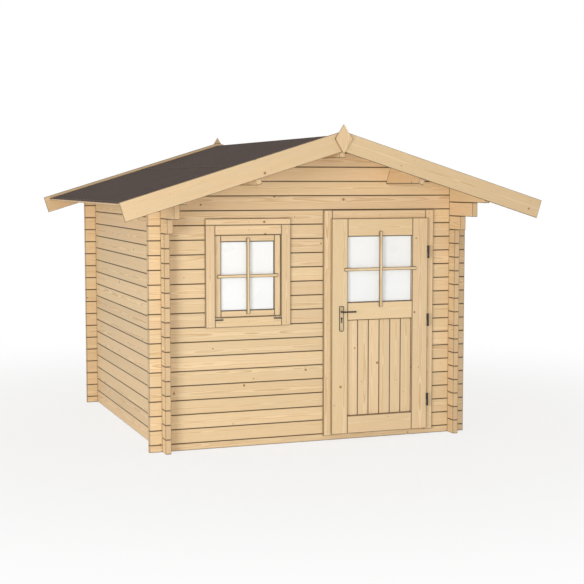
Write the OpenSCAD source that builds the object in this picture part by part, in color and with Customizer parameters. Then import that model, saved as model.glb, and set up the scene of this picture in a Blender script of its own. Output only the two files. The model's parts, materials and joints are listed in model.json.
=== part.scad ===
// Garden house of stacked logs. A square room stands under a low gabled roof that
// reaches forward over the door and the window.
// Lengths are in millimetres, +Z is up and the front faces -Y.
// The origin lies on the ground under the middle of the roof.

/* [Walls] */
// Width between the outer faces of the side walls
wall_w = 2500; // [2350:10:2800]
// Depth between the outer faces of the front and back walls
wall_d = 2500; // [2200:10:2800]
// Thickness of a log
log_t = 45; // [40:1:50]
// Height that one log adds to a wall
log_h = 113; // [110:1:118]
// How far the log ends stand past a corner
log_end = 100; // [80:1:120]
// Chamfer along the edges of a log
log_chamfer = 4; // [2:0.5:6]

/* [Roof] */
// Slope of the roof in degrees
pitch = 17.1; // [15:0.1:19]
// Reach of the roof in front of the front wall
front_reach = 600; // [520:10:680]
// Step by which each corbel course reaches further forward
corbel_step = 200; // [160:5:210]
// Reach of the roof boards past a side wall
eaves_reach = 395; // [350:5:430]
// Thickness of the roof boards
deck_t = 18; // [16:1:22]
// Thickness of the roofing felt
felt_t = 3; // [2:0.5:4]
// Height of the ridge and mid purlins
purlin_h = 144; // [125:1:155]
// Distance down the slope from the ridge to the middle of a mid purlin
mid_purlin_s = 728; // [690:1:770]
// Width of a barge board
barge_w = 145; // [130:1:160]
// Thickness of a barge board and of a finial
barge_t = 18; // [15:1:22]
// How far a barge board stands above the felt
barge_rise = 23; // [15:1:30]
// How far a barge board runs past the eaves
barge_past = 51; // [35:1:65]
// How far the middle of a finial stands above the middle of the barge boards
finial_rise = 17; // [5:1:25]
// Half the width of a finial
finial_half_w = 67; // [55:1:80]
// Half the height of a finial
finial_half_h = 108; // [95:1:120]

/* [Window] */
// How far the window lies right of the middle of the wall left of the door
window_shift = 11; // [-30:1:30]
// Width over the window casing
window_w = 700; // [660:1:740]
// Width of a window casing board
window_casing_w = 77; // [70:1:84]
// Height of the cap board over the window
window_cap_h = 50; // [42:1:56]
// Width of the stiles and rails of the sash
sash_bar_w = 50; // [42:1:58]
// Thickness of the sash
sash_t = 36; // [30:1:40]

/* [Door] */
// Clear wall between the door casing and the right wall
door_to_wall = 154.5; // [130:0.5:180]
// Clear width between the door posts
door_w = 821; // [780:1:850]
// Width of a door casing board
door_casing_w = 73.5; // [68:0.5:80]
// Height of the frame head over the door
door_head_h = 84; // [76:1:92]
// Thickness of all casing boards
casing_t = 18; // [15:1:21]
// Width of the stiles
stile_w = 138; // [125:1:150]
// Width of the rails
rail_w = 142; // [130:1:155]
// Height of the middle of the lock rail
lock_rail_z = 1046; // [1000:1:1090]
// Thickness of the lip that laps over the casing
leaf_lip_t = 18; // [15:1:20]
// Thickness of the leaf behind its lip
leaf_inner_t = 26; // [22:1:30]
// How far the lip laps over the casing
leaf_lap = 13; // [11:0.5:16]

/* [Fittings] */
// Diameter of a hinge knuckle
knuckle_d = 15; // [13:0.5:16]
// Length of a whole hinge
hinge_len = 104; // [90:1:116]
// Length of the lever from its spindle
lever_len = 112; // [100:1:124]
// Diameter of the lever
lever_d = 16; // [14:0.5:18]
// Width of a handle plate
plate_w = 40; // [34:1:46]
// Height of a handle plate
plate_h = 204; // [180:1:220]

/* [Hidden] */
// Gap left at faces that bear on each other
fit = 0.3;
// Clearance round a leaf that swings
swing_gap = 5;
// Clearance at the leaf's free edge, whose back corner swings out a little
lock_side_gap = 7;
// How far a cutter runs past what it cuts
cut = 1;
// Smooth rounds
$fn = 48;

// Courses. Front and back logs are centred on whole courses above a half log,
// side logs lie half a course higher.
plain_courses = 15;
corbel_courses = 2;
plate_z = (plain_courses + corbel_courses) * log_h;
top_log = plain_courses + corbel_courses;
gable_logs = 4;
window_first_log = 9;
window_last_log = 15;
door_last_log = 16;

// Wall lines, with y = 0 on the outer face of the front wall
half_w = wall_w / 2;
inner_half_w = half_w - log_t;
end_x = half_w + log_end;
front_y = -front_reach;
back_y = wall_d + log_end;
mid_y = (front_y + back_y) / 2;

// Roof lines. A roof point lies s down the slope from the ridge and n above the
// underside of the roof boards.
eaves_z = plate_z + log_h;
ridge_z = eaves_z + half_w * tan(pitch);
eaves_s = (half_w + eaves_reach) / cos(pitch);
felt_top_n = deck_t + fit + felt_t;
barge_top_n = felt_top_n + barge_rise;
ridge_gap = 0.4;
finial_z = ridge_z + (barge_top_n - barge_w / 2) / cos(pitch) + finial_rise;

function under_roof(x) = ridge_z - abs(x) * tan(pitch);
function roof_point(s, n) =
    [s * cos(pitch) + n * sin(pitch), ridge_z - s * sin(pitch) + n * cos(pitch)];
function ridge_s(n) = (ridge_gap / 2 - n * sin(pitch)) / cos(pitch);
function log_low(k) = k == 0 ? 0 : (k - 0.5) * log_h + fit / 2;
function log_high(k) = (k + 0.5) * log_h - fit / 2;

// Floor
floor_t = 19;
floor_z = log_h / 2;
bearer_w = 60;
bearer_count = 5;
floor_edge_gap = 0.3;

// Door frame
door_casing_x1 = inner_half_w - door_to_wall;
door_x1 = door_casing_x1 - door_casing_w;
door_x0 = door_x1 - door_w;
door_casing_x0 = door_x0 - door_casing_w;
door_post_w = 45;
door_frame_z1 = (door_last_log + 0.5) * log_h - fit;
door_head_z = door_frame_z1 - door_head_h;
casing_drop = 16.5;
casing_top_drop = 4;
door_casing_z0 = log_h / 2 - casing_drop;
door_casing_z1 = door_frame_z1 - casing_top_drop;
threshold_t = 20;
threshold_z0 = log_h / 2 + fit;
threshold_z1 = threshold_z0 + threshold_t;

// Window, set between whole logs
window_mid_x = (door_casing_x0 - inner_half_w) / 2 + window_shift;
window_x0 = window_mid_x - window_w / 2;
window_x1 = window_x0 + window_w;
window_in_x0 = window_x0 + window_casing_w;
window_in_x1 = window_x1 - window_casing_w;
window_post_w = 45;
window_cut_z0 = (window_first_log - 0.5) * log_h;
window_cut_z1 = (window_last_log + 0.5) * log_h;
window_drop = 6.5;
window_z0 = window_cut_z0 - window_drop;
window_in_z0 = window_z0 + window_casing_w;
window_in_z1 = window_cut_z1 - window_casing_w;
sash_gap = 2;
sash_y = 1;
pane_t = 4;
sash_hinge_len = 64;
sash_hinge_d = 9;
sash_hinge_flap_h = 17;
sash_hinge_flap_t = 2.5;

// Door leaf
leaf_x0 = door_x0 - leaf_lap;
leaf_x1 = door_x1 + leaf_lap;
leaf_drop = 5;
leaf_z0 = log_h / 2 - leaf_drop;
leaf_z1 = door_head_z + leaf_lap;
lip_back_y = -casing_t - fit - swing_gap;
leaf_front_y = lip_back_y - leaf_lip_t;
leaf_back_y = lip_back_y + leaf_inner_t;
leaf_in_x0 = door_x0 + lock_side_gap;
leaf_in_x1 = door_x1 - swing_gap;
leaf_in_z0 = threshold_z1 + swing_gap;
leaf_in_z1 = door_head_z - swing_gap;
stile_x0 = leaf_x0 + stile_w;
stile_x1 = leaf_x1 - stile_w;
bottom_rail_z1 = leaf_z0 + rail_w;
lock_rail_z0 = lock_rail_z - rail_w / 2;
lock_rail_z1 = lock_rail_z + rail_w / 2;
top_rail_z0 = leaf_z1 - rail_w;
panel_recess = 20;
panel_t = 14;
pane_recess = 25;

// Hinges, with the pin standing off the leaf's front and just past its edge
pin_d = 7;
pin_clearance = 0.3;
pin_past_edge = 3;
knuckle_off_leaf = 0.8;
axis_x = leaf_x1 + pin_past_edge;
axis_y = leaf_front_y - knuckle_off_leaf - knuckle_d / 2;
hinge_part_gap = 1;
hinge_web_t = 6;
hinge_web_off = 2;
hinge_above_foot = 242;
hinge_below_top = 278;
hinge_below_lock = 91;
hinge_heights = [leaf_z0 + hinge_above_foot, lock_rail_z - hinge_below_lock, leaf_z1 - hinge_below_top];

// Handle
handle_in = 84;
handle_x = leaf_x0 + handle_in;
handle_z = lock_rail_z;
plate_t = 3;
plate_head_corner = 4;
plate_foot_corner = 13;
plate_above_hub = 44;
spindle_d = 10;
spindle_clearance = 0.5;
lever_stand_off = 42;
lever_neck_d = 18;
lever_plate_gap = 0.5;
lock_drop = 53;
lock_d = 17;
lock_foot_w = 10;
lock_foot_len = 32;

// Colours
wood = [0.90, 0.79, 0.62];
wood_pale = [0.93, 0.83, 0.67];
wood_trim = [0.86, 0.74, 0.56];
felt_colour = [0.35, 0.31, 0.29];
glass_colour = [0.96, 0.97, 0.97];
black_metal = [0.08, 0.08, 0.08];
plate_metal = [0.80, 0.76, 0.68];

// Moves the house from the wall frame to the shared frame
module placed() {
    translate([0, -mid_y, 0]) children();
}

// Block between two corners
module block(low, high) {
    translate(low) cube(high - low);
}

// Outline drawn in X and Z, run along Y
module run_along_y(y0, y1) {
    translate([0, y1, 0]) rotate([90, 0, 0]) linear_extrude(height = y1 - y0) children();
}

// Outline drawn in Y and Z, run along X
module run_along_x(x0, x1) {
    translate([x0, 0, 0]) rotate([90, 0, 90]) linear_extrude(height = x1 - x0) children();
}

// Cross section of a log with chamfered edges
module log_outline(t0, z0, z1) {
    t1 = t0 + log_t;
    c = log_chamfer;
    polygon([
        [t0 + c, z0], [t1 - c, z0], [t1, z0 + c], [t1, z1 - c],
        [t1 - c, z1], [t0 + c, z1], [t0, z1 - c], [t0, z0 + c]
    ]);
}

// Space that a crossing side wall takes out of a front or back log
module x_notches(y0, z_mid, z_low, z_high) {
    keep = log_h / 4 - fit / 2;
    for (side = [-1, 1]) {
        x0 = side < 0 ? -half_w - fit : inner_half_w - fit;
        x1 = x0 + log_t + 2 * fit;
        block([x0, y0 - cut, z_mid + keep], [x1, y0 + log_t + cut, z_high + cut]);
        if (z_mid - keep > z_low) block([x0, y0 - cut, z_low - cut], [x1, y0 + log_t + cut, z_mid - keep]);
    }
}

// Log of the front or back wall, number k counted from the half log
module x_log(k, y0, x0, x1) {
    difference() {
        run_along_x(x0, x1) log_outline(y0, log_low(k), log_high(k));
        x_notches(y0, k * log_h, log_low(k), log_high(k));
    }
}

// Space that the front and back walls take out of a side log
module y_notches(x0, z_mid, z_low, z_high) {
    keep = log_h / 4 - fit / 2;
    for (y0 = [-fit, wall_d - log_t - fit]) {
        y1 = y0 + log_t + 2 * fit;
        block([x0 - cut, y0, z_low - cut], [x0 + log_t + cut, y1, z_mid - keep]);
        block([x0 - cut, y0, z_mid + keep], [x0 + log_t + cut, y1, z_high + cut]);
    }
}

// Log of a side wall, number j counted from the ground
module y_log(j, x0, y0) {
    z0 = j == 0 ? 0 : j * log_h + fit / 2;
    z1 = (j + 1) * log_h - fit / 2;
    difference() {
        run_along_y(y0, back_y) log_outline(x0, z0, z1);
        y_notches(x0, (j + 0.5) * log_h, z0, z1);
    }
}

module side_wall(x0) {
    for (j = [0 : plain_courses - 1]) y_log(j, x0, -log_end);
}

// Two courses that step forward under the eaves purlin
module corbel_logs(x0) {
    for (i = [0 : corbel_courses - 1]) y_log(plain_courses + i, x0, -corbel_step * (i + 1));
}

// Cross section of the right eaves purlin, bevelled to the roof
module eaves_purlin_outline() {
    c = log_chamfer;
    z0 = plate_z + fit / 2;
    polygon([
        [inner_half_w + c, z0], [half_w - c, z0], [half_w, z0 + c], [half_w, under_roof(half_w) - fit],
        [inner_half_w, under_roof(inner_half_w) - fit], [inner_half_w, z0 + c]
    ]);
}

module right_eaves_purlin_shape() {
    difference() {
        run_along_y(front_y, back_y) eaves_purlin_outline();
        for (y0 = [-fit, wall_d - log_t - fit])
            block(
                [inner_half_w - cut, y0, plate_z - cut],
                [half_w + cut, y0 + log_t + 2 * fit, plate_z + log_h / 4 + fit / 2]
            );
    }
}

// Cross section of the right mid purlin, square to the roof, grown by g
module mid_purlin_outline(g) {
    polygon([
        roof_point(mid_purlin_s - log_t / 2 - g, -purlin_h - g),
        roof_point(mid_purlin_s + log_t / 2 + g, -purlin_h - g),
        roof_point(mid_purlin_s + log_t / 2 + g, g - fit),
        roof_point(mid_purlin_s - log_t / 2 - g, g - fit)
    ]);
}

// Cross section of the ridge purlin with its bevelled top, grown by g
module ridge_purlin_outline(g) {
    x = log_t / 2 + g;
    z0 = under_roof(log_t / 2) - purlin_h - g;
    polygon([[-x, z0], [x, z0], [x, under_roof(x) - fit], [0, ridge_z - fit], [-x, under_roof(x) - fit]]);
}

// Logs above the corner joints, cut to the roof and round the purlins
module gable(y0) {
    x_log(top_log, y0, -end_x, end_x);
    difference() {
        intersection() {
            for (k = [top_log + 1 : top_log + gable_logs])
                run_along_x(-inner_half_w + fit, inner_half_w - fit)
                    log_outline(y0, log_low(k), log_high(k));
            run_along_y(y0 - cut, y0 + log_t + cut)
                polygon([
                    [-half_w, plate_z], [half_w, plate_z], [half_w, under_roof(half_w) - fit],
                    [0, ridge_z - fit], [-half_w, under_roof(half_w) - fit]
                ]);
        }
        run_along_y(y0 - 2 * cut, y0 + log_t + 2 * cut) {
            mid_purlin_outline(fit);
            mirror([1, 0]) mid_purlin_outline(fit);
            translate([0, fit]) ridge_purlin_outline(fit);
        }
    }
}

// Slab that lies on the right slope from the ridge to s_end
module right_slab(n0, n1, s_end, y0, y1) {
    run_along_y(y0, y1)
        polygon([
            roof_point(ridge_s(n0), n0), roof_point(s_end, n0),
            roof_point(s_end, n1), roof_point(ridge_s(n1), n1)
        ]);
}

module right_deck() {
    right_slab(0, deck_t, eaves_s, front_y, back_y);
}

module right_felt_shape() {
    right_slab(deck_t + fit, felt_top_n, eaves_s, front_y, back_y);
}

// Pair of barge boards that meet at the ridge
module barge_pair(y0) {
    for (side = [0, 1])
        mirror([side, 0, 0])
            right_slab(barge_top_n - barge_w, barge_top_n, eaves_s + barge_past, y0, y0 + barge_t);
}

// Diamond on the meeting of two barge boards
module finial(y0) {
    run_along_y(y0, y0 + barge_t)
        polygon([
            [0, finial_z + finial_half_h], [-finial_half_w, finial_z],
            [0, finial_z - finial_half_h], [finial_half_w, finial_z]
        ]);
}

module floor_bearer_row() {
    x_room = inner_half_w - bearer_w;
    for (i = [0 : bearer_count - 1]) {
        x = -x_room + 2 * x_room * i / (bearer_count - 1);
        block(
            [x - bearer_w / 2, log_t + bearer_w, 0],
            [x + bearer_w / 2, wall_d - log_t - bearer_w, floor_z - floor_t - fit]
        );
    }
}

module floor_slab() {
    x = inner_half_w - floor_edge_gap;
    block([-x, log_t + floor_edge_gap, floor_z - floor_t], [x, wall_d - log_t - floor_edge_gap, floor_z]);
}

// Posts, sill and head that line the window opening
module window_frame_shape() {
    z0 = window_cut_z0 + fit;
    z1 = window_cut_z1 - fit;
    block([window_in_x0 - window_post_w, 0, z0], [window_in_x0, log_t, z1]);
    block([window_in_x1, 0, z0], [window_in_x1 + window_post_w, log_t, z1]);
    block([window_in_x0 + fit, 0, z0], [window_in_x1 - fit, log_t, window_in_z0]);
    block([window_in_x0 + fit, 0, window_in_z1], [window_in_x1 - fit, log_t, z1]);
}

// Four boards round the window, from y0 to y0 + casing_t
module window_boards(y0) {
    y1 = y0 + casing_t;
    z1 = window_cut_z1;
    block([window_x0, y0, window_z0], [window_in_x0, y1, z1]);
    block([window_in_x1, y0, window_z0], [window_x1, y1, z1]);
    block([window_in_x0 + fit, y0, window_z0], [window_in_x1 - fit, y1, window_in_z0]);
    block([window_in_x0 + fit, y0, window_in_z1], [window_in_x1 - fit, y1, z1]);
}

module window_casing_shape() {
    window_boards(-casing_t - fit);
    z0 = window_cut_z1 + fit;
    block([window_x0, -casing_t - fit, z0], [window_x1, -fit, z0 + window_cap_h]);
}

module window_sash_shape() {
    x0 = window_in_x0 + sash_gap;
    x1 = window_in_x1 - sash_gap;
    z0 = window_in_z0 + fit;
    z1 = window_in_z1 - sash_gap;
    y1 = sash_y + sash_t;
    block([x0, sash_y, z0], [x0 + sash_bar_w, y1, z1]);
    block([x1 - sash_bar_w, sash_y, z0], [x1, y1, z1]);
    block([x0 + sash_bar_w + fit, sash_y, z0], [x1 - sash_bar_w - fit, y1, z0 + sash_bar_w]);
    block([x0 + sash_bar_w + fit, sash_y, z1 - sash_bar_w], [x1 - sash_bar_w - fit, y1, z1]);
}

module window_pane_shape() {
    edge = sash_gap + sash_bar_w + fit;
    y0 = sash_y + sash_t / 2 - pane_t / 2;
    block(
        [window_in_x0 + edge, y0, window_in_z0 + fit + sash_bar_w + fit],
        [window_in_x1 - edge, y0 + pane_t, window_in_z1 - edge]
    );
}

// Two small hinges on the casing board under the sash
module window_hinge_pair() {
    y0 = -casing_t - 2 * fit;
    z1 = window_in_z0 - fit;
    for (x0 = [window_in_x0 + fit, window_in_x1 - fit - sash_hinge_len]) {
        block(
            [x0, y0 - sash_hinge_flap_t, z1 - sash_hinge_flap_h],
            [x0 + sash_hinge_len, y0, z1]
        );
        translate([x0, y0 - sash_hinge_d / 2, z1 - sash_hinge_flap_h])
            rotate([0, 90, 0])
                cylinder(d = sash_hinge_d, h = sash_hinge_len);
    }
}

// Posts and head that line the doorway
module door_frame_shape() {
    block([door_x0 - door_post_w, 0, threshold_z0], [door_x0, log_t, door_frame_z1]);
    block([door_x1, 0, threshold_z0], [door_x1 + door_post_w, log_t, door_frame_z1]);
    block([door_x0 + fit, 0, door_head_z], [door_x1 - fit, log_t, door_frame_z1]);
}

// Three boards round the doorway, from y0 to y0 + casing_t and down to z0
module door_boards(y0, z0) {
    y1 = y0 + casing_t;
    z1 = door_casing_z1;
    block([door_casing_x0, y0, z0], [door_x0, y1, z1]);
    block([door_x1, y0, z0], [door_casing_x1, y1, z1]);
    block([door_x0 + fit, y0, door_head_z], [door_x1 - fit, y1, z1]);
}

module door_threshold_shape() {
    block([door_x0 + fit, -casing_t, threshold_z0], [door_x1 - fit, log_t + casing_t, threshold_z1]);
}

// Part of the leaf inside the given bounds, with the lip in front of the casing
module leaf_member(x0, x1, z0, z1) {
    block([x0, leaf_front_y, z0], [x1, lip_back_y, z1]);
    block(
        [max(x0, leaf_in_x0), leaf_front_y, max(z0, leaf_in_z0)],
        [min(x1, leaf_in_x1), leaf_back_y, min(z1, leaf_in_z1)]
    );
}

module door_stile_pair() {
    difference() {
        leaf_member(leaf_x0, stile_x0, leaf_z0, leaf_z1);
        spindle(spindle_d + 2 * spindle_clearance, leaf_front_y - cut, leaf_back_y + cut);
    }
    leaf_member(stile_x1, leaf_x1, leaf_z0, leaf_z1);
}

module door_rail_row() {
    x0 = stile_x0 + fit;
    x1 = stile_x1 - fit;
    leaf_member(x0, x1, leaf_z0, bottom_rail_z1);
    leaf_member(x0, x1, lock_rail_z0, lock_rail_z1);
    leaf_member(x0, x1, top_rail_z0, leaf_z1);
}

module door_panel_shape() {
    y0 = leaf_front_y + panel_recess;
    block(
        [stile_x0 + fit, y0, bottom_rail_z1 + fit],
        [stile_x1 - fit, y0 + panel_t, lock_rail_z0 - fit]
    );
}

module door_pane_shape() {
    y0 = leaf_front_y + pane_recess;
    block(
        [stile_x0 + fit, y0, lock_rail_z1 + fit],
        [stile_x1 - fit, y0 + pane_t, top_rail_z0 - fit]
    );
}

// Upright cylinder on the door's pin line
module on_axis(d, z0, z1) {
    translate([axis_x, axis_y, z0]) cylinder(d = d, h = z1 - z0);
}

// Lower knuckles with their pins, each on a web that stands on the casing
module hinge_pin_row() {
    for (z = hinge_heights) {
        z0 = z - hinge_len / 2;
        z1 = z - hinge_part_gap / 2;
        on_axis(knuckle_d, z0, z1);
        on_axis(pin_d, z0, z + hinge_len / 2);
        block(
            [axis_x + hinge_web_off, axis_y, z0],
            [axis_x + hinge_web_off + hinge_web_t, -casing_t - 2 * fit, z1]
        );
    }
}

// Upper knuckles, each on a web that stands on the leaf
module hinge_knuckle_row() {
    for (z = hinge_heights) {
        z0 = z + hinge_part_gap / 2;
        z1 = z + hinge_len / 2;
        difference() {
            union() {
                on_axis(knuckle_d, z0, z1);
                block(
                    [leaf_x1 - hinge_web_t, axis_y, z0],
                    [leaf_x1, leaf_front_y - fit, z1]
                );
            }
            on_axis(pin_d + 2 * pin_clearance, z0 - cut, z1 + cut);
        }
    }
}

// Round rod across the leaf on the spindle line
module spindle(d, y0, y1) {
    translate([handle_x, y1, handle_z]) rotate([90, 0, 0]) cylinder(d = d, h = y1 - y0);
}

// One end of a plate's outline: a strip between two round corners, which reaches
// from z towards the plate's middle
module plate_end(z, corner, side) {
    x = plate_w / 2 - corner;
    middle_z = z + side * corner;
    translate([-x, min(z, middle_z)]) square([2 * x, corner]);
    for (sx = [-x, x]) translate([sx, middle_z]) circle(r = corner);
}

// Outline of a handle plate with rounded corners and a hole for the lock cylinder,
// its hub at the origin
module plate_outline() {
    z0 = plate_above_hub - plate_h;
    difference() {
        union() {
            plate_end(z0, plate_foot_corner, 1);
            plate_end(plate_above_hub, plate_head_corner, -1);
            translate([-plate_w / 2, z0 + plate_foot_corner])
                square([plate_w, plate_h - plate_foot_corner - plate_head_corner]);
        }
        circle(d = spindle_d + 2 * spindle_clearance);
        translate([0, -lock_drop]) {
            circle(d = lock_d);
            translate([-lock_foot_w / 2, -lock_foot_len]) square([lock_foot_w, lock_foot_len]);
            translate([0, -lock_foot_len]) circle(d = lock_foot_w);
        }
    }
}

module handle_plate_pair() {
    for (y0 = [leaf_front_y - fit - plate_t, leaf_back_y + fit])
        translate([handle_x, y0 + plate_t, handle_z])
            rotate([90, 0, 0])
                linear_extrude(height = plate_t) plate_outline();
}

// Levers on both sides of the leaf, joined by their spindle
module lever_pair() {
    y_out = leaf_front_y - lever_stand_off;
    y_in = leaf_back_y + lever_stand_off;
    plate_gap = plate_t + 2 * fit + lever_plate_gap;
    spindle(spindle_d, y_out, y_in);
    spindle(lever_neck_d, y_out - lever_d / 2, leaf_front_y - plate_gap);
    spindle(lever_neck_d, leaf_back_y + plate_gap, y_in + lever_d / 2);
    for (y = [y_out, y_in])
        translate([handle_x, y, handle_z]) {
            rotate([0, 90, 0]) cylinder(d = lever_d, h = lever_len - lever_d / 2);
            translate([lever_len - lever_d / 2, 0, 0]) sphere(d = lever_d);
        }
}

module front_sill_log() {
    color(wood) placed() x_log(0, 0, -end_x, end_x);
}

module front_wall_below_window() {
    color(wood) placed()
        for (k = [1 : window_first_log - 1]) x_log(k, 0, -end_x, door_x0 - door_post_w - fit);
}

module front_wall_left_of_window() {
    color(wood_pale) placed()
        for (k = [window_first_log : window_last_log])
            x_log(k, 0, -end_x, window_in_x0 - window_post_w - fit);
}

module front_wall_between() {
    color(wood_pale) placed()
        for (k = [window_first_log : window_last_log])
            x_log(k, 0, window_in_x1 + window_post_w + fit, door_x0 - door_post_w - fit);
}

module front_wall_over_window() {
    color(wood) placed()
        for (k = [window_last_log + 1 : door_last_log]) x_log(k, 0, -end_x, door_x0 - door_post_w - fit);
}

module front_wall_right_of_door() {
    color(wood) placed()
        for (k = [1 : door_last_log]) x_log(k, 0, door_x1 + door_post_w + fit, end_x);
}

module front_gable() {
    color(wood_pale) placed() gable(0);
}

module back_wall() {
    color(wood) placed()
        for (k = [0 : door_last_log]) x_log(k, wall_d - log_t, -end_x, end_x);
}

module back_gable() {
    color(wood_pale) placed() gable(wall_d - log_t);
}

module left_wall() {
    color(wood) placed() side_wall(-half_w);
}

module right_wall() {
    color(wood) placed() side_wall(inner_half_w);
}

module left_corbel_logs() {
    color(wood_pale) placed() corbel_logs(-half_w);
}

module right_corbel_logs() {
    color(wood_pale) placed() corbel_logs(inner_half_w);
}

module left_eaves_purlin() {
    color(wood) placed() mirror([1, 0, 0]) right_eaves_purlin_shape();
}

module right_eaves_purlin() {
    color(wood) placed() right_eaves_purlin_shape();
}

module left_mid_purlin() {
    color(wood) placed() mirror([1, 0, 0]) run_along_y(front_y, back_y) mid_purlin_outline(0);
}

module right_mid_purlin() {
    color(wood) placed() run_along_y(front_y, back_y) mid_purlin_outline(0);
}

module ridge_purlin() {
    color(wood) placed() run_along_y(front_y, back_y) ridge_purlin_outline(0);
}

module left_roof_boards() {
    color(wood_pale) placed() mirror([1, 0, 0]) right_deck();
}

module right_roof_boards() {
    color(wood_pale) placed() right_deck();
}

module left_felt() {
    color(felt_colour) placed() mirror([1, 0, 0]) right_felt_shape();
}

module right_felt() {
    color(felt_colour) placed() right_felt_shape();
}

module front_barge_boards() {
    color(wood_trim) placed() barge_pair(front_y - fit - barge_t);
}

module back_barge_boards() {
    color(wood_trim) placed() barge_pair(back_y + fit);
}

module front_finial() {
    color(wood_trim) placed() finial(front_y - 2 * (fit + barge_t));
}

module back_finial() {
    color(wood_trim) placed() finial(back_y + 2 * fit + barge_t);
}

module floor_bearers() {
    color(wood_trim) placed() floor_bearer_row();
}

module floor_boards() {
    color(wood_pale) placed() floor_slab();
}

module window_frame() {
    color(wood_trim) placed() window_frame_shape();
}

module window_casing() {
    color(wood_trim) placed() window_casing_shape();
}

module window_sash() {
    color(wood_pale) placed() window_sash_shape();
}

module window_pane() {
    color(glass_colour) placed() window_pane_shape();
}

module window_hinges() {
    color(black_metal) placed() window_hinge_pair();
}

module door_frame() {
    color(wood_trim) placed() door_frame_shape();
}

module door_casing() {
    color(wood_trim) placed() door_boards(-casing_t - fit, door_casing_z0);
}

module door_threshold() {
    color(wood_trim) placed() door_threshold_shape();
}

module inside_casings() {
    color(wood_trim) placed() {
        window_boards(log_t + fit);
        door_boards(log_t + fit, floor_z + fit);
    }
}

module door_hinge_pins() {
    color(black_metal) placed() hinge_pin_row();
}

module door_stiles() {
    color(wood_pale) placed() door_stile_pair();
}

module door_rails() {
    color(wood) placed() door_rail_row();
}

module door_panel() {
    color(wood_trim) placed() door_panel_shape();
}

module door_pane() {
    color(glass_colour) placed() door_pane_shape();
}

module door_hinge_knuckles() {
    color(black_metal) placed() hinge_knuckle_row();
}

module door_handle_plates() {
    color(plate_metal) placed() handle_plate_pair();
}

module door_lever() {
    color(black_metal) placed() lever_pair();
}

front_sill_log();
front_wall_below_window();
front_wall_left_of_window();
front_wall_between();
front_wall_over_window();
front_wall_right_of_door();
front_gable();
back_wall();
back_gable();
left_wall();
right_wall();
left_corbel_logs();
right_corbel_logs();
left_eaves_purlin();
right_eaves_purlin();
left_mid_purlin();
right_mid_purlin();
ridge_purlin();
left_roof_boards();
right_roof_boards();
left_felt();
right_felt();
front_barge_boards();
back_barge_boards();
front_finial();
back_finial();
floor_bearers();
floor_boards();
window_frame();
window_casing();
window_sash();
window_pane();
window_hinges();
door_frame();
door_casing();
door_threshold();
inside_casings();
door_hinge_pins();
door_stiles();
door_rails();
door_panel();
door_pane();
door_hinge_knuckles();
door_handle_plates();
door_lever();
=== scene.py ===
"""Looks of the garden house: grained timber, felt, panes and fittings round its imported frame.

Lengths are in metres, in the frame's axes: +Z is up and the front faces -Y.
"""

import json
import math
import random
from collections import namedtuple

import bmesh
import bpy
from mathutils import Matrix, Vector, noise

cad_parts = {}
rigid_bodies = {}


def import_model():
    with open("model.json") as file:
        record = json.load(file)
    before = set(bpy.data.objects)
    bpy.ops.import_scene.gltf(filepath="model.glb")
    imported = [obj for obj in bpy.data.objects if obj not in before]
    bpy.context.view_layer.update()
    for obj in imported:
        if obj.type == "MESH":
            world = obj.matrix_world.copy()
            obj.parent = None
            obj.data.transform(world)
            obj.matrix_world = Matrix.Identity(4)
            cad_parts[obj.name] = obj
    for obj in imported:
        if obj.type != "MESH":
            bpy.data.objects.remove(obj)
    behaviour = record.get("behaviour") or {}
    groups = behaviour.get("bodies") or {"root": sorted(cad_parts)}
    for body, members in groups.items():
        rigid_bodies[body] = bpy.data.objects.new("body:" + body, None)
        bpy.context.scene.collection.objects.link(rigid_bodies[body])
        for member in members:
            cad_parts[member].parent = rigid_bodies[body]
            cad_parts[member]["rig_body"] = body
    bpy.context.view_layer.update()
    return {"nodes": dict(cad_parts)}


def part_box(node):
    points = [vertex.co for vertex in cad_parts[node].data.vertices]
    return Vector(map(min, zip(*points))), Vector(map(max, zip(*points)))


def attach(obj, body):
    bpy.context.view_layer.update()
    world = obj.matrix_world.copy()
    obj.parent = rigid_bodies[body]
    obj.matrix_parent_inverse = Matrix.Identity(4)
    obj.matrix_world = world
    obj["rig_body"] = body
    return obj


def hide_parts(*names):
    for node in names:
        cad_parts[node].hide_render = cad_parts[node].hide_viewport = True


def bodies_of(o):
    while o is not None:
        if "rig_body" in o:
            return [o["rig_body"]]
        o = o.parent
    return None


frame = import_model()

X, Y, Z = 0, 1, 2
FRONT = Vector((0, -1, 0))
BACK = Vector((0, 1, 0))
RIGHT = Vector((1, 0, 0))
UP = Vector((0, 0, 1))
MM = 0.001

# Camera at the photograph's place, with angles in degrees and its lens and sensor in millimetres
CAMERA_PLACE = (-3.7087, -10.6416, 2.0906)
CAMERA_YAW = 20.092
CAMERA_PITCH = 4.878
CAMERA_LENS = 79.91
CAMERA_SENSOR = 36
CAMERA_SEES_TO = 200

# Timber nodes that keep their solids, by how they are finished
LOG_NODES = (
    "front_sill_log", "front_wall_below_window", "front_wall_left_of_window", "front_wall_between",
    "front_wall_over_window", "front_wall_right_of_door", "back_wall", "left_wall", "right_wall",
    "left_corbel_logs", "right_corbel_logs", "left_eaves_purlin", "right_eaves_purlin",
)
GABLE_NODES = ("front_gable", "back_gable")
PURLIN_NODES = ("left_mid_purlin", "right_mid_purlin", "ridge_purlin")
TRIM_NODES = (
    "window_frame", "window_casing", "door_frame", "door_casing", "door_threshold",
    "inside_casings", "floor_bearers",
)
BARGE_NODES = ("front_barge_boards", "back_barge_boards")
FINIAL_NODES = ("front_finial", "back_finial")
JOINERY_NODES = ("window_sash", "door_stiles", "door_rails")
EDGE_ROUND = 1.5 * MM

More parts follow.
